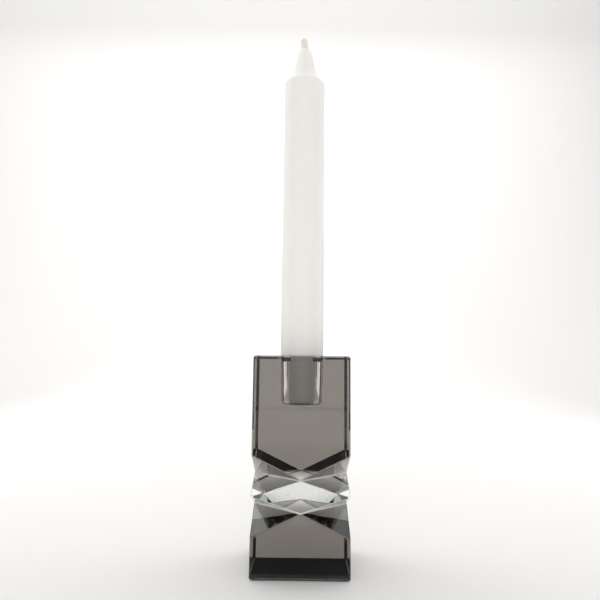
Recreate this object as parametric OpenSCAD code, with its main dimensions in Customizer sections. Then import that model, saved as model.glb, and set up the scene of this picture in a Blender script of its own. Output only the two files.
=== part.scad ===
// Square crystal candlestick holding a dinner candle.
// Three ground and polished crystals are bonded into one column: smoke, clear, smoke.
// Each joint is a square turned by 45 degrees whose points touch the middles of the
// column's sides, so every crystal's corners are ground away towards its joints.
// Millimetres, Z up. Origin: centre of the foot, on the table.

/* [Crystal column] */
// Side of the square plan
block_w = 48; // [40:1:60]
// Height of the smoke base block
base_h = 30; // [22:0.5:40]
// Height of the clear middle crystal
crystal_h = 15; // [10:0.5:20]
// Height of the smoke upper block
upper_h = 59.8; // [48:0.2:80]
// Height over which a smoke block's corner is ground away
corner_drop = 11.5; // [6:0.5:16]
// Thickness of each film of optical adhesive
bond_t = 0.1; // [0.05:0.05:0.3]
// How far a film's bead stands out past the edge of its joint
bead_w = 0.4; // [0.2:0.05:0.6]

/* [Polished edges] */
// Width of the bevel on the upright and outer edges of the smoke blocks
edge_bevel = 1.1; // [0.4:0.1:1.6]
// Width of the bevel where a smoke block's sides meet its ground corners
corner_bevel = 0.7; // [0.2:0.1:1.2]
// Width of the bevel round each joint
joint_bevel = 0.5; // [0.2:0.1:0.8]
// Width of the bevel on the clear crystal's four points
point_bevel = 2; // [0.6:0.2:3]
// Width of the bevel on the clear crystal's other edges
crystal_bevel = 0.3; // [0.2:0.1:0.8]

/* [Candle socket] */
// Diameter of the socket at its floor
socket_floor_d = 21; // [18:0.2:23]
// Extra diameter below the lip, from the taper of the wall
socket_taper = 1; // [0.2:0.1:2]
// Depth of the socket below the top face
socket_depth = 24.6; // [20:0.2:30]
// Radius between the socket's wall and floor
socket_floor_r = 1.8; // [0.5:0.1:3]
// Height of the flared mouth
lip_h = 2.6; // [1:0.2:4]
// How far the mouth flares out past the wall
lip_w = 1.6; // [0.6:0.1:2.4]

/* [Candle] */
// Diameter of the candle
candle_d = 22.6; // [20:0.2:26]
// Length of the wax from foot to tip
candle_len = 202; // [120:1:300]
// Gap all round between the candle's foot and the socket's wall
foot_gap = 0.3; // [0.1:0.05:0.6]
// Height of the moulded tip above the shoulder
tip_h = 21; // [16:1:30]
// Radius of the candle's shoulder
shoulder_r = 2.4; // [1:0.2:4]
// Diameter of the tip where its cone begins
tip_base_d = 11.6; // [9:0.2:13]
// Diameter of the tip where its rounded end begins
tip_end_d = 8.6; // [6:0.2:9]

/* [Wick] */
// Diameter of the wick's core in the wax
wick_d = 3; // [2:0.1:4]
// Diameter of the waxed head that stands out
wick_head_d = 4.2; // [3:0.1:5]
// Height of the head above the wax
wick_head_h = 6.2; // [4:0.2:12]

/* [Base pad] */
// Thickness of the moulded black pad under the foot
pad_t = 0.5; // [0.3:0.1:2]
// Thickness of the pad's wall, which wraps the bevel round the foot
pad_wall = 0.25; // [0.15:0.05:0.4]
// Width of the wall's upper rim
pad_rim = 0.15; // [0.05:0.05:0.3]

/* [Hidden] */

half_w = block_w / 2;
joint_reach = half_w / sqrt(2);      // from the axis to each edge of a joint

base_z = pad_t;
lower_joint_z = base_z + base_h;
crystal_z = lower_joint_z + bond_t;
upper_joint_z = crystal_z + crystal_h;
upper_z = upper_joint_z + bond_t;
top_z = upper_z + upper_h;
crystal_drop = crystal_h / 2;        // the clear crystal's points stand at half its height

socket_floor_z = top_z - socket_depth;
floor_r = socket_floor_d / 2;
wall_r = floor_r + socket_taper / 2;
lip_z = top_z - lip_h;

candle_r = candle_d / 2;
foot_r = min(floor_r - foot_gap, candle_r);
plug_r = min(wall_r - foot_gap, candle_r);
foot_bevel = socket_floor_r + foot_gap;
candle_top_z = socket_floor_z + candle_len;
shoulder_z = candle_top_z - tip_h;
wick_r = wick_d / 2;

cut_reach = block_w + top_z;         // longer than any block, so a cut clears it
smoke = [0.42, 0.41, 0.39, 0.75];
clear = [0.93, 0.94, 0.93, 0.45];

// A plane is [outward normal, distance from the origin along it].
function unit(v) = v / norm(v);
function side_plane(i) = [[cos(90 * i), sin(90 * i), 0], half_w];
function level_plane(up, z) = [[0, 0, up], up * z];
// A ground corner: through the middles of two sides at height z, and through the
// column's upright edge at drop below it (up = 1) or above it (up = -1).
function corner_plane(i, up, z, drop) =
    let (turn = 45 + 90 * i,
         out = [cos(turn), sin(turn), 0],
         normal = unit(drop * out + [0, 0, up * joint_reach]))
    [normal, normal * (joint_reach * out + [0, 0, z])];
// A bevel of width w along the edge where planes p and q meet, equally inclined to both.
function bevel_plane(p, q, w) =
    let (sum = p[0] + q[0], turn = acos(p[0] * q[0]))
    [unit(sum), (p[1] + q[1]) / norm(sum) - w / 2 * tan(turn / 2)];

// Cuts for the corners above (up = 1) or below (up = -1) that lead to the joint at z.
function corner_cuts(up, z, drop, side_w, joint_w) =
    [for (i = [0:3])
        let (corner = corner_plane(i, up, z, drop))
        each [corner,
              bevel_plane(corner, side_plane(i), side_w),
              bevel_plane(corner, side_plane(i + 1), side_w),
              bevel_plane(corner, level_plane(up, z), joint_w)]];
function smoke_corners(up, z) = corner_cuts(up, z, corner_drop, corner_bevel, joint_bevel);
function clear_corners(up, z) = corner_cuts(up, z, crystal_drop, crystal_bevel, joint_bevel);
function upright_cuts(w) =
    [for (i = [0:3]) bevel_plane(side_plane(i), side_plane(i + 1), w)];
function rim_cuts(up, z, w) =
    [for (i = [0:3]) bevel_plane(side_plane(i), level_plane(up, z), w)];

// An arc from angle a0 to a1 round the centre c, in even steps.
function arc(c, r, a0, a1, steps) =
    [for (i = [0:steps]) let (a = a0 + (a1 - a0) * i / steps) c + r * [cos(a), sin(a)]];
// A curve from p to r that leaves and arrives along the lines to q.
function bend(p, q, r, steps) =
    [for (i = [0:steps])
        let (t = i / steps) (1 - t) * (1 - t) * p + 2 * t * (1 - t) * q + t * t * r];

// Everything beyond a plane.
module beyond(plane) {
    normal = plane[0];
    rotate([0, acos(normal.z), atan2(normal.y, normal.x)])
        translate([-cut_reach, -cut_reach, plane[1]])
            cube(2 * cut_reach);
}

// A square column from z0 to z1, ground off at the first n planes of the list in turn.
module ground_block(z0, z1, cuts, n) {
    if (n == 0)
        translate([-half_w, -half_w, z0])
            cube([block_w, block_w, z1 - z0]);
    else
        difference() {
            ground_block(z0, z1, cuts, n - 1);
            beyond(cuts[n - 1]);
        }
}

module crystal(z0, z1, cuts) {
    ground_block(z0, z1, cuts, len(cuts));
}

// The hollow for the candle: tapered wall, rounded floor edge and flared mouth.
module socket() {
    floor_arc = arc([floor_r - socket_floor_r, socket_floor_z + socket_floor_r],
                    socket_floor_r, -90, 0, 6);
    mouth_r = wall_r + lip_w;
    rotate_extrude($fn = 96)
        polygon(concat([[0, socket_floor_z]], floor_arc,
                       [[wall_r, lip_z], [mouth_r, top_z],
                        [mouth_r, top_z + 1], [0, top_z + 1]]));
}

// A joint's film of adhesive, with the bead that fills the groove round it. The block below
// ends at z with the ground corners of the list below, the block above with those of above.
module bond(z, below, above) {
    reach = 2 * bead_w;                  // taller than the groove is at the bead's face
    side = 2 * (joint_reach + bead_w);
    difference() {
        intersection() {
            rotate([0, 0, 45])
                translate([-side / 2, -side / 2, z - reach])
                    cube([side, side, 2 * reach + bond_t]);
            translate([-half_w, -half_w, z - reach])
                cube([block_w, block_w, 2 * reach + bond_t]);
        }
        crystal(z - 2 * reach, z, below);
        crystal(z + bond_t, z + bond_t + 2 * reach, above);
    }
}

// The pad is the foot's own shape grown by its wall, less the foot.
module base_pad() {
    foot = rim_cuts(-1, base_z, edge_bevel);
    rim_z = base_z + edge_bevel * sin(45) - pad_rim;
    color("#1d1d1f")
        difference() {
            crystal(0, rim_z,
                concat(upright_cuts(edge_bevel),
                       [for (plane = foot) [plane[0], plane[1] + pad_wall]]));
            crystal(base_z, lower_joint_z, concat(upright_cuts(edge_bevel), foot));
        }
}

module base_block() {
    color(smoke)
        crystal(base_z, lower_joint_z,
            concat(smoke_corners(1, lower_joint_z),
                   upright_cuts(edge_bevel),
                   rim_cuts(-1, base_z, edge_bevel)));
}

module lower_bond() {
    color(clear)
        bond(lower_joint_z, smoke_corners(1, lower_joint_z), clear_corners(-1, crystal_z));
}

module middle_crystal() {
    color(clear)
        crystal(crystal_z, upper_joint_z,
            concat(clear_corners(1, upper_joint_z),
                   clear_corners(-1, crystal_z),
                   upright_cuts(point_bevel)));
}

module upper_bond() {
    color(clear)
        bond(upper_joint_z, clear_corners(1, upper_joint_z), smoke_corners(-1, upper_z));
}

module upper_block() {
    color(smoke)
        difference() {
            crystal(upper_z, top_z,
                concat(smoke_corners(-1, upper_z),
                       upright_cuts(edge_bevel),
                       rim_cuts(1, top_z, edge_bevel)));
            socket();
        }
}

// The candle is trimmed to a plug where it enters the socket, and stands on its floor.
module candle_wax() {
    tip_r = tip_end_d / 2;
    tip_end_z = candle_top_z - tip_r;
    plug = [[foot_r - foot_bevel, socket_floor_z],
            [foot_r, socket_floor_z + foot_bevel],
            [plug_r, lip_z],
            [plug_r, top_z],
            [candle_r, top_z + candle_r - plug_r]];
    shoulder = arc([candle_r - shoulder_r, shoulder_z - shoulder_r], shoulder_r, 0, 40, 6);
    neck_foot = shoulder[len(shoulder) - 1];
    cone_z = shoulder_z + 0.4 * tip_h;
    neck = bend(neck_foot, [tip_base_d / 2 + 1.6, shoulder_z + 1],
                [tip_base_d / 2, cone_z], 8);
    dome = arc([0, tip_end_z], tip_r, 8, acos(wick_r / tip_r), 7);
    color("ivory")
        rotate_extrude($fn = 96)
            polygon(concat([[wick_r, socket_floor_z]], plug, shoulder, neck, dome));
}

// Cotton core through the whole candle, with a waxed head above the tip.
module candle_wick() {
    tip_r = tip_end_d / 2;
    neck_z = candle_top_z - tip_r * (1 - sin(acos(wick_r / tip_r)));
    head_r = wick_head_d / 2;
    head_top_z = candle_top_z + wick_head_h;
    head = bend([wick_r, neck_z], [head_r + 0.3, neck_z + 0.35 * wick_head_h],
                [head_r, head_top_z - head_r], 6);
    color("wheat")
        rotate_extrude($fn = 48)
            polygon(concat([[0, socket_floor_z], [wick_r, socket_floor_z]], head,
                           arc([0, head_top_z - head_r], head_r, 12, 90, 6)));
}

base_pad();
base_block();
lower_bond();
middle_crystal();
upper_bond();
upper_block();
candle_wax();
candle_wick();
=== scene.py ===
"""A square candlestick of three bonded crystals, smoke, clear and smoke, with a dinner candle in its socket.

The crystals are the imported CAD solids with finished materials. The candle, its wick, the beads of
adhesive round the joints and the pad under the foot are surfaces worked out here, in the space that
their CAD solids hold. Lengths are in metres.
"""

import math

import bpy
import numpy as np
from bpy.props import FloatProperty, FloatVectorProperty, PointerProperty
from bpy.types import Operator, Panel, PropertyGroup
from mathutils import Matrix, Vector


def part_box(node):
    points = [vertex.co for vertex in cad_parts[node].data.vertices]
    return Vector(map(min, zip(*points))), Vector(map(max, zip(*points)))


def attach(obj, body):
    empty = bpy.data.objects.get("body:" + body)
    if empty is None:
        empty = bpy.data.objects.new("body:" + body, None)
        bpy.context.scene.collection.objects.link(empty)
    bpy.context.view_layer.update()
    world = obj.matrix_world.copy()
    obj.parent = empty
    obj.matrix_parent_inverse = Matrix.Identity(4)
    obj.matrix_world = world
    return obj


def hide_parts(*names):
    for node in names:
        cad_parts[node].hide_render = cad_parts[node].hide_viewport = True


bl_info = {
    "name": "Crystal candlestick",
    "version": (1, 0, 0),
    "blender": (4, 5, 0),
    "location": "View3D > Sidebar > Candlestick",
    "description": "Finishes a bonded crystal candlestick, its candle and a small studio round it",
    "category": "Object",
}

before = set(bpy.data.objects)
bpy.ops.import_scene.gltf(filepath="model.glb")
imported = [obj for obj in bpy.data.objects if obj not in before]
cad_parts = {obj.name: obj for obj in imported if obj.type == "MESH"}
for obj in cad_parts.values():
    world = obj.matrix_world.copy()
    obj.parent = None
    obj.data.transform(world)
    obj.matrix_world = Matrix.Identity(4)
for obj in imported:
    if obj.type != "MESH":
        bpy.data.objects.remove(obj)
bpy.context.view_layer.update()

MM = 0.001
BLOCK_LOW, BLOCK_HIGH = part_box("upper_block")
BASE_LOW, BASE_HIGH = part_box("base_block")
CRYSTAL_LOW, CRYSTAL_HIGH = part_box("middle_crystal")
PAD_LOW, PAD_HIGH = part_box("base_pad")
WAX_LOW, WAX_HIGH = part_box("candle_wax")
WICK_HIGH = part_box("candle_wick")[1]
SMOKE_DROP = 11.5 * MM        # height over which a smoke crystal's corners are ground away
LEAST_SIDE = 0.01 * MM        # shortest side that a cut corner leaves


def linear(code):
    """An sRGB hex colour as linear RGBA."""
    parts = [int(code[i:i + 2], 16) / 255 for i in (1, 3, 5)]
    return (*[p / 12.92 if p <= 0.04045 else ((p + 0.055) / 1.055) ** 2.4 for p in parts], 1.0)


def colour(name, description, code):
    """A colour property whose default is this sRGB hex colour."""
    return FloatVectorProperty(
        name=name, description=description, default=linear(code), size=4, min=0, max=1, subtype="COLOR")


# Sizes and colours that a user would change


class CrystalSettings(PropertyGroup):
    ior: FloatProperty(
        name="Index", description="Refractive index of the crystal", default=1.5, min=1.3, max=1.8)
    smoke: colour("Smoke", "Colour left of white light after the smoke depth", "#817c77")
    smoke_depth: FloatProperty(
        name="Smoke depth", description="Thickness of smoke crystal that gives that colour",
        default=48 * MM, min=1 * MM, unit="LENGTH")
    clear: colour("Clear", "Colour left of white light after the clear depth", "#e4e6e4")
    clear_depth: FloatProperty(
        name="Clear depth", description="Thickness of clear crystal that gives that colour",
        default=48 * MM, min=1 * MM, unit="LENGTH")


class CandleSettings(PropertyGroup):
    wax: colour("Wax", "Colour of the wax", "#f8f6f2")
    cotton: colour("Cotton", "Colour of the wick's cotton", "#f6eee4")
    waxed_end: colour("Waxed end", "Colour of the wick's dipped end", "#d9dad4")
    tip_height: FloatProperty(
        name="Tip height", description="Height of the moulded tip above the shoulder",
        default=21 * MM, min=10 * MM, unit="LENGTH")
    shoulder: FloatProperty(
        name="Shoulder", description="Radius of the shoulder", default=2.4 * MM, unit="LENGTH")
    neck: FloatProperty(
        name="Neck", description="Radius of the tip where its cone begins", default=5.8 * MM, unit="LENGTH")
    tip: FloatProperty(
        name="Tip", description="Radius of the tip's rounded end", default=4.3 * MM, unit="LENGTH")
    plug: FloatProperty(
        name="Plug", description="Radius of the foot under the socket's lip",
        default=10.7 * MM, unit="LENGTH")
    foot: FloatProperty(
        name="Foot", description="Radius of the foot at its lower end", default=10.2 * MM, unit="LENGTH")
    wick_lean: FloatProperty(
        name="Wick lean", description="How far the wick's end leans over", default=0.9 * MM, unit="LENGTH")


class FootSettings(PropertyGroup):
    rubber: colour("Rubber", "Colour of the pad", "#565657")
    wall: FloatProperty(
        name="Wall", description="Thickness of the pad's wall round the foot's bevel",
        default=0.25 * MM, unit="LENGTH")
    bevel: FloatProperty(
        name="Bevel", description="Width of the bevel round the foot", default=1.1 * MM, unit="LENGTH")
    bead: FloatProperty(
        name="Bead", description="How far the adhesive stands out past each joint's edge",
        default=0.4 * MM, unit="LENGTH")
    adhesive: colour("Adhesive", "Colour of the cured adhesive", "#fdfcf8")


class StudioSettings(PropertyGroup):
    paper: colour("Paper", "Colour of the floor and backdrop", "#f4f3f1")
    side_light: FloatProperty(
        name="Side light", description="Brightness of the side boxes", default=1.15, min=0)
    top_light: FloatProperty(
        name="Top light", description="Brightness of the overhead box", default=1.1, min=0)
    back_light: FloatProperty(
        name="Back light", description="Brightness of the backdrop's box", default=3.2, min=0)
    front_light: FloatProperty(
        name="Front light", description="Brightness of the wide front box", default=0.7, min=0)
    fill_light: FloatProperty(
        name="Fill light", description="Brightness of the fill box", default=2.3, min=0)
    room: colour("Room", "Colour of the dark room round the set", "#7a7a7b")
    camera_place: FloatVectorProperty(
        name="Camera place", description="Where the camera stands", default=(0.0, -0.3037, 0.0961),
        subtype="XYZ", unit="LENGTH")
    camera_turn: FloatVectorProperty(
        name="Camera turn", description="Pitch up, roll and yaw of the camera",
        default=(math.radians(7.58), math.radians(0.65), math.radians(-0.27)),
        subtype="EULER", unit="ROTATION")
    lens: FloatProperty(
        name="Lens", description="Focal length on a sensor 36 mm wide, in millimetres",
        default=33.83, min=1, unit="CAMERA")


# Nodes and meshes


def add(tree, kind, values=None, links=None, **settings):
    """Adds a node with these settings and input values, and links these sockets into its inputs."""
    made = tree.nodes.new(kind)
    for key, value in settings.items():
        setattr(made, key, value)
    for key, value in (values or {}).items():
        made.inputs[key].default_value = value
    for key, source in (links or {}).items():
        tree.links.new(source, made.inputs[key])
    return made


def new_material(name):
    """An empty node material and its tree."""
    material = bpy.data.materials.new(name)
    material.use_nodes = True
    material.node_tree.nodes.clear()
    return material, material.node_tree


def noise(tree, size, detail=3.0, stretch=(1, 1, 1)):
    """Noise whose lumps are about size metres across, on Object coordinates."""
    place = add(tree, "ShaderNodeTexCoord")
    turned = add(tree, "ShaderNodeMapping", {"Scale": stretch}, {"Vector": place.outputs["Object"]})
    return add(tree, "ShaderNodeTexNoise", {"Scale": 1 / size, "Detail": detail},
               {"Vector": turned.outputs["Vector"]})


def spread(tree, factor, low, high):
    """A number that runs from low to high as factor runs from 0 to 1."""
    ends = {"To Min": low, "To Max": high}
    return add(tree, "ShaderNodeMapRange", ends, {"Value": factor}).outputs["Result"]


def mixed(tree, factor, first, second):
    """A colour that runs from first to second as factor runs from 0 to 1."""
    ends = {"A": first, "B": second}
    return add(tree, "ShaderNodeMix", ends, {"Factor": factor}, data_type="RGBA").outputs["Result"]


def axes(tree):
    """The X, Y and Z outputs of the Object coordinates."""
    place = add(tree, "ShaderNodeTexCoord")
    return add(tree, "ShaderNodeSeparateXYZ", links={"Vector": place.outputs["Object"]}).outputs


def absorbing(tree, left, depth):
    """Volume Absorption that leaves white light with the colour left after depth metres.

    What is left after a path d is exp(-density (1 - tint) d), so each channel's
    1 - tint is -ln(left) over depth and density.
    """
    loss = [-math.log(part) / depth for part in left[:3]]
    density = 2 * max(loss)
    tint = (*[1 - part / density for part in loss], 1.0)
    return add(tree, "ShaderNodeVolumeAbsorption", {"Color": tint, "Density": density})


def assign(piece, material):
    """Gives the piece this material alone."""
    piece.data.materials.clear()
    piece.data.materials.append(material)


def ring_mesh(name, points, loop=False, smooth=True):
    """A closed mesh from rings of points: array (rings, around, 3).

    The first and last rings shrink to poles, or join each other where loop is true.
    """
    rings, around = points.shape[:2]
    body = points if loop else points[1:-1]
    index = np.arange(body.shape[0] * around).reshape(-1, around)
    below, above = (index, np.roll(index, -1, 0)) if loop else (index[:-1], index[1:])
    quads = np.stack([below, np.roll(below, -1, 1), np.roll(above, -1, 1), above], -1).reshape(-1, 4)
    places, faces = body.reshape(-1, 3), quads.tolist()
    if not loop:
        low, high = len(places), len(places) + 1
        places = np.vstack([places, points[0].mean(0), points[-1].mean(0)])
        first, last = index[0], index[-1]
        faces += np.stack([np.full(around, low), np.roll(first, -1), first], -1).tolist()
        faces += np.stack([np.full(around, high), last, np.roll(last, -1)], -1).tolist()
    mesh = bpy.data.meshes.new(name)
    mesh.from_pydata(places.tolist(), [], faces)
    mesh.polygons.foreach_set("use_smooth", np.full(len(mesh.polygons), smooth))
    mesh.validate()
    piece = bpy.data.objects.new(name, mesh)
    bpy.context.scene.collection.objects.link(piece)
    return piece


def clipped_square(half, clip):
    """Eight points: a square of this half size whose corners are cut where |x| + |y| is clip."""
    leg = max(2 * half - clip, LEAST_SIDE)
    near = half - leg
    return np.array([(half, -near), (half, near), (near, half), (-near, half),
                     (-half, near), (-half, -near), (-near, -half), (near, -half)])


def level_ring(half, clip, height):
    """The eight points of a clipped square, level at this height."""
    return np.column_stack([clipped_square(half, clip), np.full(8, height)])


def arc(centre, radius, start, end, steps):
    """Points (radius, height) on an arc round centre, from angle start to end in degrees."""
    angle = np.radians(np.linspace(start, end, steps))
    return np.stack([centre[0] + radius * np.cos(angle), centre[1] + radius * np.sin(angle)], -1)


def bend(start, pull, end, steps):
    """Points on a quadratic curve that leaves start and reaches end along the lines to pull."""
    t = np.linspace(0, 1, steps)[:, None]
    return (1 - t) ** 2 * np.array(start) + 2 * t * (1 - t) * np.array(pull) + t ** 2 * np.array(end)


def line(start, end, steps):
    """Points evenly spaced from start to end."""
    t = np.linspace(0, 1, steps)[:, None]
    return (1 - t) * np.array(start) + t * np.array(end)


def revolve(profile, around):
    """Rings of points: each (radius, height) of the profile turned round the Z axis."""
    angle = np.linspace(0, 2 * np.pi, around, endpoint=False)
    radius, height = profile[:, :1], profile[:, 1:]
    return np.stack([radius * np.cos(angle), radius * np.sin(angle), height + 0 * angle], -1)


# Materials


def joint_index(tree, index, heights):
    """The refractive index: the crystal's, but 1 on the bonded faces at these heights.

    Cured optical adhesive matches the crystal, so light crosses a joint without bending.
    """
    height = axes(tree)["Z"]
    near = 0.02 * MM
    bonded = None
    for level in heights:
        here = add(tree, "ShaderNodeMath", {1: level, 2: near}, {0: height}, operation="COMPARE").outputs[0]
        if bonded is None:
            bonded = here
        else:
            both = {0: bonded, 1: here}
            bonded = add(tree, "ShaderNodeMath", links=both, operation="MAXIMUM").outputs[0]
    return spread(tree, bonded, index, 1.0)


def crystal(name, index, left, depth, heights):
    """Ground and polished crystal, bonded at these heights.

    Its polish gives mirror-sharp edges; the faint haze of the felt wheel softens nothing but the
    brightest glints.
    """
    material, tree = new_material(name)
    haze = spread(tree, noise(tree, 9 * MM).outputs["Fac"], 0.0, 0.012)
    surface = add(tree, "ShaderNodeBsdfPrincipled",
                  {"Base Color": (1, 1, 1, 1), "Transmission Weight": 1.0, "IOR": index},
                  {"Roughness": haze, "IOR": joint_index(tree, index, heights)})
    add(tree, "ShaderNodeOutputMaterial",
        links={"Surface": surface.outputs["BSDF"], "Volume": absorbing(tree, left, depth).outputs["Volume"]})
    return material


def cured_adhesive(milk):
    """Bead of cured adhesive: faintly milky, so that it draws a light line round its joint."""
    material, tree = new_material("cured_optical_adhesive")
    cloud = noise(tree, 1.5 * MM, 2.0).outputs["Fac"]
    tone = mixed(tree, cloud, milk, linear("#f0efe9"))
    surface = add(tree, "ShaderNodeBsdfPrincipled",
                  {"IOR": 1.5, "Subsurface Weight": 1.0, "Subsurface Radius": (1, 1, 1),
                   "Subsurface Scale": 0.6 * MM},
                  {"Base Color": tone, "Roughness": spread(tree, cloud, 0.1, 0.25)})
    add(tree, "ShaderNodeOutputMaterial", links={"Surface": surface.outputs["BSDF"]})
    return material


def candle_wax(wax):
    """Moulded paraffin and stearin: light sinks in a few millimetres, under a soft sheen."""
    material, tree = new_material("moulded_candle_wax")
    mottle = noise(tree, 14 * MM, 2.0, (1, 1, 0.35)).outputs["Fac"]
    tone = mixed(tree, spread(tree, mottle, 0.0, 0.5), wax, linear("#f1ede6"))
    bloom = noise(tree, 1.6 * MM, 4.0).outputs["Fac"]
    grain = add(tree, "ShaderNodeBump", {"Strength": 0.12, "Distance": 0.05 * MM}, {"Height": bloom})
    surface = add(tree, "ShaderNodeBsdfPrincipled",
                  {"IOR": 1.44, "Subsurface Weight": 1.0, "Subsurface Radius": (1.0, 0.86, 0.72),
                   "Subsurface Scale": 4 * MM},
                  {"Base Color": tone, "Roughness": spread(tree, bloom, 0.3, 0.46),
                   "Normal": grain.outputs["Normal"]})
    add(tree, "ShaderNodeOutputMaterial", links={"Surface": surface.outputs["BSDF"]})
    return material


def waxed_cotton(cotton, waxed_end, low, high):
    """Braided cotton dipped in wax: cream threads low down, a greyer cap of wax at the end."""
    material, tree = new_material("waxed_braided_cotton")
    ends = {"From Min": low, "From Max": high}
    up = add(tree, "ShaderNodeMapRange", ends, {"Value": axes(tree)["Z"]}).outputs["Result"]
    threads = noise(tree, 0.5 * MM, 3.0, (1, 1, 0.3)).outputs["Fac"]
    cream = mixed(tree, threads, cotton, linear("#efe0d0"))
    end = {"B": waxed_end}
    dipped = add(tree, "ShaderNodeMix", end, {"Factor": up, "A": cream}, data_type="RGBA")
    relief = add(tree, "ShaderNodeBump", {"Strength": 0.4, "Distance": 0.1 * MM}, {"Height": threads})
    surface = add(tree, "ShaderNodeBsdfPrincipled",
                  {"IOR": 1.44, "Subsurface Weight": 0.6, "Subsurface Radius": (1.0, 0.9, 0.8),
                   "Subsurface Scale": 1 * MM, "Coat Weight": 0.4, "Coat Roughness": 0.3},
                  {"Base Color": dipped.outputs["Result"], "Roughness": spread(tree, threads, 0.45, 0.7),
                   "Normal": relief.outputs["Normal"]})
    add(tree, "ShaderNodeOutputMaterial", links={"Surface": surface.outputs["BSDF"]})
    return material


def black_rubber(rubber, wall_start):
    """Moulded rubber: soft black with a fine grain and a low sheen on its outer wall.

    Where it's bonded to the glass it has no face of its own, so it shines only past wall_start,
    measured as its half size less its height.
    """
    material, tree = new_material("moulded_black_rubber")
    grain = noise(tree, 0.4 * MM, 4.0).outputs["Fac"]
    tone = mixed(tree, grain, rubber, linear("#484849"))
    relief = add(tree, "ShaderNodeBump", {"Strength": 0.15, "Distance": 0.03 * MM}, {"Height": grain})
    place = axes(tree)
    x, y = [add(tree, "ShaderNodeMath", links={0: place[key]}, operation="ABSOLUTE").outputs[0]
            for key in "XY"]
    half = add(tree, "ShaderNodeMath", links={0: x, 1: y}, operation="MAXIMUM").outputs[0]
    out = add(tree, "ShaderNodeMath", links={0: half, 1: place["Z"]}, operation="SUBTRACT").outputs[0]
    onset, sheen = 0.05 * MM, 0.25
    shine = add(tree, "ShaderNodeMapRange", {"From Min": wall_start, "From Max": wall_start + onset,
                                             "To Min": 0.0, "To Max": sheen}, {"Value": out})
    surface = add(tree, "ShaderNodeBsdfPrincipled", {"IOR": 1.5},
                  {"Base Color": tone, "Roughness": spread(tree, grain, 0.3, 0.45),
                   "Normal": relief.outputs["Normal"], "Specular IOR Level": shine.outputs["Result"]})
    add(tree, "ShaderNodeOutputMaterial", links={"Surface": surface.outputs["BSDF"]})
    return material


def matt_card(name, face):
    """Matt card with a faint paper tooth: it takes light away and has almost no shine."""
    material, tree = new_material(name)
    tooth = noise(tree, 2 * MM).outputs["Fac"]
    surface = add(tree, "ShaderNodeBsdfPrincipled",
                  {"Base Color": face, "Specular IOR Level": 0.1},
                  {"Roughness": spread(tree, tooth, 0.8, 0.95)})
    add(tree, "ShaderNodeOutputMaterial", links={"Surface": surface.outputs["BSDF"]})
    return material


def studio_paper(face):
    """Matt pale background paper, with the faintest tooth."""
    material, tree = new_material("matt_background_paper")
    tooth = noise(tree, 2 * MM).outputs["Fac"]
    relief = add(tree, "ShaderNodeBump", {"Strength": 0.05, "Distance": 0.1 * MM}, {"Height": tooth})
    surface = add(tree, "ShaderNodeBsdfPrincipled",
                  {"Base Color": face, "Roughness": 0.9, "Specular IOR Level": 0.1},
                  {"Normal": relief.outputs["Normal"]})
    add(tree, "ShaderNodeOutputMaterial", links={"Surface": surface.outputs["BSDF"]})
    return material


# Operators


class CANDLESTICK_OT_crystals(Operator):
    """Give the three crystals their polished glass, clear across the joints"""
    bl_idname = "candlestick.crystals"
    bl_label = "Crystals"

    def execute(self, context):
        s = context.scene.candlestick_crystals
        smoke = (s.ior, s.smoke, s.smoke_depth)
        clear = (s.ior, s.clear, s.clear_depth)
        glasses = {
            "base_block": crystal("polished_smoke_crystal_base", *smoke, [BASE_LOW.z, BASE_HIGH.z]),
            "upper_block": crystal("polished_smoke_crystal_top", *smoke, [BLOCK_LOW.z]),
            "middle_crystal": crystal("polished_clear_crystal", *clear, [CRYSTAL_LOW.z, CRYSTAL_HIGH.z]),
        }
        for name, glass in glasses.items():
            assign(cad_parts[name], glass)
        return {"FINISHED"}


class CANDLESTICK_OT_candle(Operator):
    """Build the dinner candle: trimmed foot, straight shaft, rounded shoulder and moulded tip"""
    bl_idname = "candlestick.candle"
    bl_label = "Candle"

    def execute(self, context):
        s = context.scene.candlestick_candle
        radius = WAX_HIGH.x
        stand_off = 0.1 * MM          # keeps the wax off the socket's floor, as a film of air does
        foot_z, rim_z, top_z = WAX_LOW.z + stand_off, BLOCK_HIGH.z, WAX_HIGH.z
        lip_z = rim_z - 2.8 * MM
        foot_bevel = 2.1 * MM
        shaft_z = rim_z + 1.5 * MM    # just above the chamfer over the socket's mouth
        shoulder_z = top_z + 0.4 * MM - s.tip_height
        cone_z = shoulder_z + 0.4 * s.tip_height
        neck_pull = (s.neck + 1.6 * MM, shoulder_z + 1 * MM)
        shoulder = arc((radius - s.shoulder, shoulder_z - s.shoulder), s.shoulder, 0, 40, 12)
        dome = arc((0, top_z - s.tip), s.tip, 8, 90, 14)
        profile = np.vstack([
            [(0, foot_z)],
            line((1 * MM, foot_z), (s.foot - foot_bevel, foot_z), 6),
            line((s.foot, foot_z + foot_bevel), (s.plug, lip_z), 12),
            line((s.plug, rim_z), (radius, rim_z + radius - s.plug), 4),
            line((radius, shaft_z), (radius, shoulder_z - 2 * s.shoulder), 120),
            shoulder,
            bend(shoulder[-1], neck_pull, (s.neck, cone_z), 16)[1:],
            line((s.neck, cone_z), dome[0], 12)[1:-1],
            dome,
        ])
        candle = ring_mesh("candle_body", revolve(profile, 128))
        assign(candle, candle_wax(s.wax))
        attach(candle, "candle")
        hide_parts("candle_wax")
        return {"FINISHED"}


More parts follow.
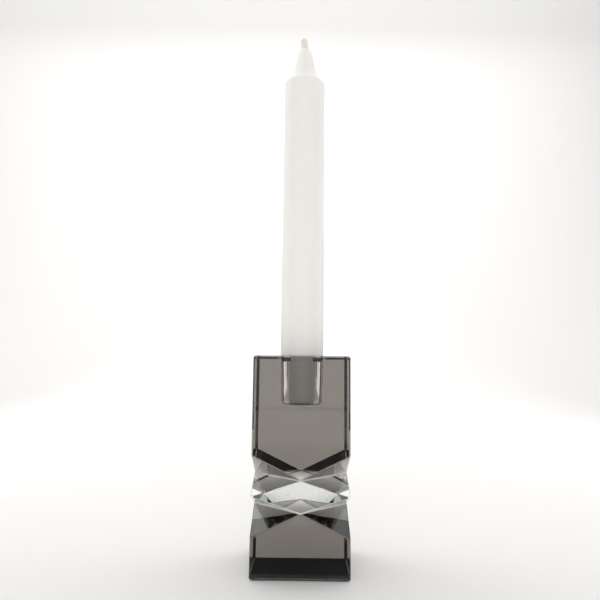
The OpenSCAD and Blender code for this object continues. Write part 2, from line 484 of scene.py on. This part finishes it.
class CANDLESTICK_OT_wick(Operator):
    """Build the wick's braided head, dipped in wax and leaning a little"""
    bl_idname = "candlestick.wick"
    bl_label = "Wick"

    def execute(self, context):
        s = context.scene.candlestick_candle
        low, high = WAX_HIGH.z - 2 * MM, WICK_HIGH.z
        widest = WICK_HIGH.x
        t = np.linspace(0, 1, 64)[:, None]
        angle = np.linspace(0, 2 * np.pi, 72, endpoint=False)[None, :]
        strands, twist, groove = 3, 7, 0.07
        neck, dome_start = 0.72, 0.7
        fill, flatness, side_lean = 0.96, 0.86, 0.3
        # Radius: a neck, a fuller middle and a round end, with strands that cross as they climb.
        swell = neck + (1 - neck) * np.sin(np.pi * np.clip(t * 0.9, 0, 1)) ** 0.8
        end = np.sqrt(np.clip(1 - ((t - dome_start) / (1 - dome_start)).clip(0, 1) ** 2, 0, 1))
        climbing = np.abs(np.sin(strands / 2 * angle + twist * t))
        crossing = np.abs(np.sin(strands / 2 * angle - twist * t))
        radius = fill * widest * swell * end * (1 - groove * climbing * crossing)
        lean = -s.wick_lean * t ** 1.6
        x = radius * np.cos(angle) + lean
        y = flatness * radius * np.sin(angle) + side_lean * lean
        z = low + (high - low) * t + 0 * angle
        wick = ring_mesh("wick_head", np.stack([x, y, z], -1))
        assign(wick, waxed_cotton(s.cotton, s.waxed_end, WAX_HIGH.z + 3 * MM, high))
        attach(wick, "candle")
        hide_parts("candle_wick")
        return {"FINISHED"}


class CANDLESTICK_OT_beads(Operator):
    """Build the bead of adhesive that fills the groove round each joint"""
    bl_idname = "candlestick.beads"
    bl_label = "Adhesive beads"

    def execute(self, context):
        s = context.scene.candlestick_foot
        adhesive = cured_adhesive(s.adhesive)
        half = BLOCK_HIGH.x
        reach = half / math.sqrt(2)   # from the axis to the middle of a joint's side
        smoke_slope = SMOKE_DROP / reach
        clear_slope = (CRYSTAL_HIGH.z - CRYSTAL_LOW.z) / 2 / reach
        joints = [
            ("lower_bead", "lower_bond", BASE_HIGH.z, CRYSTAL_LOW.z, smoke_slope, clear_slope),
            ("upper_bead", "upper_bond", CRYSTAL_HIGH.z, BLOCK_LOW.z, clear_slope, smoke_slope),
        ]
        for name, bond, *joint in joints:
            rings = []
            for past, height in self.section(s.bead, *joint):
                tip = math.sqrt(2) * (reach + past)
                rings.append(level_ring(min(tip - LEAST_SIDE, half), tip, height))
            piece = ring_mesh(name, np.array(rings), loop=True, smooth=False)
            assign(piece, adhesive)
            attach(piece, "stand")
            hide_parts(bond)
        return {"FINISHED"}

    def section(self, out, low, high, slope_below, slope_above):
        """Points (distance past the joint's edge, height) round the wedge between two ground faces.

        They run out along the lower face, up a slightly hollow face and back along the upper one.
        The bead wets both ground faces by a hair.
        """
        wetting, hollow = 0.015 * MM, 0.06 * MM
        past = np.array([-0.24 * MM, 0.22 * MM, out])
        open_run = past.clip(0)
        below = np.column_stack([past, low - slope_below * open_run - wetting])
        above = np.column_stack([past, high + slope_above * open_run + wetting])[::-1]
        face = bend(below[-1], (out - 2 * hollow, (low + high) / 2), above[0], 7)[1:-1]
        return np.vstack([below, face, above])


class CANDLESTICK_OT_pad(Operator):
    """Build the black rubber pad moulded round the foot's bevel"""
    bl_idname = "candlestick.pad"
    bl_label = "Pad"

    def execute(self, context):
        s = context.scene.candlestick_foot
        half, low, high = PAD_HIGH.x, PAD_LOW.z, PAD_HIGH.z
        wetting = 0.02 * MM           # the pad's glue wets the glass, so its face lies just inside it
        leg = s.bevel / math.sqrt(2)
        clip = 2 * half - leg
        floor = BASE_LOW.z
        foot = half - leg             # half size of the foot's flat
        drop = s.wall * math.sqrt(2)  # how far the wall lowers the bevel's plane
        outer = foot - floor + drop   # half size of the pad's underside
        edge = 0.06 * MM              # small round where the underside meets the wall
        inside = floor + wetting
        section = [                   # half size and height, from the underside out, up and in
            (0.5 * outer, low),
            (outer - edge, low),
            (outer - 0.3 * edge, low + 0.15 * edge),
            (outer + 0.5 * edge, low + 0.7 * edge),
            (half, low + half - outer),
            (half, high),
            (half - (floor + leg - high) - 1.5 * wetting, high),
            (foot - 0.5 * wetting, inside),
            (0.5 * foot, inside),
        ]
        rings = [level_ring(size, clip, height) for size, height in section]
        rings = [0 * rings[0] + [0, 0, low], *rings, 0 * rings[0] + [0, 0, inside]]
        pad = ring_mesh("foot_pad", np.array(rings), smooth=False)
        assign(pad, black_rubber(s.rubber, foot - floor + 0.5 * drop))
        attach(pad, "stand")
        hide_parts("base_pad")
        return {"FINISHED"}


def soft_box(name, place, target, width, height, brightness):
    """A rectangular lamp that faces target, with this brightness where white paper in full light has 1."""
    lamp = bpy.data.lights.new(name, "AREA")
    lamp.shape = "RECTANGLE"
    lamp.size, lamp.size_y = width, height
    lamp.energy = brightness * math.pi * width * height
    thing = bpy.data.objects.new(name, lamp)
    thing.location = place
    thing.rotation_euler = (Vector(target) - Vector(place)).to_track_quat("-Z", "Y").to_euler()
    bpy.context.scene.collection.objects.link(thing)
    return thing


class CANDLESTICK_OT_studio(Operator):
    """Set the floor, the backdrop, the lamps, the cards and the camera"""
    bl_idname = "candlestick.studio"
    bl_label = "Studio"

    def execute(self, context):
        s = context.scene.candlestick_studio
        self.cove(s)
        self.lamps(s)
        self.cards()
        self.camera(context.scene, s)
        scene = context.scene
        scene.view_settings.view_transform = "Standard"
        scene.cycles.max_bounces = 40
        scene.cycles.transmission_bounces = 40
        scene.cycles.glossy_bounces = 24
        scene.cycles.diffuse_bounces = 4
        scene.cycles.use_denoising = True
        return {"FINISHED"}

    def cove(self, s):
        """Floor that curves up into a backdrop: a flat run, a quarter circle and an upright run."""
        width, front, back, bend_r, wall = 3.4, -1.32, 1.45, 1.05, 1.7
        turn = np.radians(np.linspace(0, 90, 24))
        run = np.concatenate([[front], back - bend_r + bend_r * np.sin(turn), [back]])
        rise = np.concatenate([[0], bend_r * (1 - np.cos(turn)), [wall]])
        x = np.array([-width / 2, width / 2])
        count = len(run)
        points = np.stack([np.tile(x, count), np.repeat(run, 2), np.repeat(rise, 2)], -1)
        low = 2 * np.arange(count - 1)
        faces = np.stack([low, low + 1, low + 3, low + 2], -1)
        mesh = bpy.data.meshes.new("cove")
        mesh.from_pydata(points.tolist(), [], faces.tolist())
        mesh.polygons.foreach_set("use_smooth", np.full(len(mesh.polygons), True))
        paper = bpy.data.objects.new("cove", mesh)
        bpy.context.scene.collection.objects.link(paper)
        assign(paper, studio_paper(s.paper))

    def lamps(self, s):
        """Soft boxes on both sides, overhead, on the backdrop and in front, and a fill.

        The glass doesn't see the fill, which is there for the wax and the paper alone.
        """
        for side in (-1, 1):
            soft_box("side_box", (side * 0.69, 0.29, 0.42), (0, 0, 0.42), 0.64, 0.78, s.side_light)
        soft_box("overhead_box", (-0.1, 0.4, 1.25), (-0.1, 0.4, 0), 2.0, 1.6, s.top_light)
        soft_box("backdrop_box", (-0.2, 0.5, 1.6), (-0.2, 1.45, 1.1), 3.0, 0.4, s.back_light)
        soft_box("front_box", (0, -1.3, 0.45), (0, 0, 0.45), 2.4, 0.88, s.front_light)
        fill = soft_box("fill_box", (0, -2.2, 0.62), (0, 0, 0.15), 1.7, 1.3, s.fill_light)
        fill.visible_glossy = False
        fill.visible_transmission = False
        world = bpy.data.worlds.new("dark_room")
        world.use_nodes = True
        world.node_tree.nodes["Background"].inputs["Color"].default_value = s.room
        bpy.context.scene.world = world

    def cards(self):
        """Cards out of the camera's sight.

        A black one on each side of the backdrop draws the crystal's edges dark, and two grey ones
        on the floor in front keep the deep facets dark.
        """
        black = matt_card("matt_black_card", linear("#262626"))
        grey = matt_card("matt_grey_card", linear("#8e8e8e"))
        distance, top = 0.6, 0.3
        for side in (-1, 1):
            turn = np.radians([18, 44])
            x, y = side * distance * np.sin(turn), distance * np.cos(turn)
            self.card([(x[0], y[0], 0), (x[1], y[1], 0), (x[1], y[1], top), (x[0], y[0], top)], black)
        lift = 0.001
        for near, far, half in ((-0.03, -0.12, 0.1), (-0.28, -0.52, 0.065)):
            self.card([(-half, far, lift), (half, far, lift), (half, near, lift), (-half, near, lift)], grey)

    def card(self, corners, material):
        """A flat card with these corners, seen only in the glass."""
        mesh = bpy.data.meshes.new("dark_card")
        mesh.from_pydata(corners, [], [(0, 1, 2, 3)])
        card = bpy.data.objects.new("dark_card", mesh)
        bpy.context.scene.collection.objects.link(card)
        card.visible_camera = False
        card.visible_shadow = False
        card.visible_diffuse = False
        assign(card, material)

    def camera(self, scene, s):
        """Stand the camera at its place, turned about Z, then pitched up, then rolled."""
        pitch, roll, yaw = s.camera_turn
        ahead = Vector((math.sin(yaw) * math.cos(pitch), math.cos(yaw) * math.cos(pitch), math.sin(pitch)))
        right = Vector((math.cos(yaw), -math.sin(yaw), 0))
        up = right.cross(ahead)
        rolled_right = math.cos(roll) * right + math.sin(roll) * up
        rolled_up = math.cos(roll) * up - math.sin(roll) * right
        camera = bpy.data.cameras.new("camera")
        camera.lens = s.lens
        camera.sensor_width = 36
        camera.clip_start = 0.01
        thing = bpy.data.objects.new("camera", camera)
        turn = Matrix((rolled_right, rolled_up, -ahead)).transposed().to_4x4()
        thing.matrix_world = Matrix.Translation(s.camera_place) @ turn
        scene.collection.objects.link(thing)
        scene.camera = thing


class CANDLESTICK_PT_panel(Panel):
    """Lists the candlestick's pieces and their sizes and colours"""
    bl_idname = "CANDLESTICK_PT_panel"
    bl_label = "Crystal candlestick"
    bl_space_type = "VIEW_3D"
    bl_region_type = "UI"
    bl_category = "Candlestick"

    def draw(self, context):
        for operator, group in STEPS:
            box = self.layout.box()
            box.operator(operator.bl_idname)
            settings = getattr(context.scene, group)
            for key in settings.bl_rna.properties.keys():
                if key not in ("rna_type", "name"):
                    box.prop(settings, key)


GROUPS = {
    "candlestick_crystals": CrystalSettings,
    "candlestick_candle": CandleSettings,
    "candlestick_foot": FootSettings,
    "candlestick_studio": StudioSettings,
}
STEPS = [
    (CANDLESTICK_OT_crystals, "candlestick_crystals"),
    (CANDLESTICK_OT_candle, "candlestick_candle"),
    (CANDLESTICK_OT_wick, "candlestick_candle"),
    (CANDLESTICK_OT_beads, "candlestick_foot"),
    (CANDLESTICK_OT_pad, "candlestick_foot"),
    (CANDLESTICK_OT_studio, "candlestick_studio"),
]
CLASSES = [*GROUPS.values(), *[operator for operator, _ in STEPS], CANDLESTICK_PT_panel]


def register():
    for cls in CLASSES:
        bpy.utils.register_class(cls)
    for name, group in GROUPS.items():
        setattr(bpy.types.Scene, name, PointerProperty(type=group))


def unregister():
    for name in GROUPS:
        delattr(bpy.types.Scene, name)
    for cls in reversed(CLASSES):
        bpy.utils.unregister_class(cls)


def main():
    register()
    for operator, _ in STEPS:
        area, name = operator.bl_idname.split(".")
        getattr(getattr(bpy.ops, area), name)()


if __name__ == "__main__":
    main()
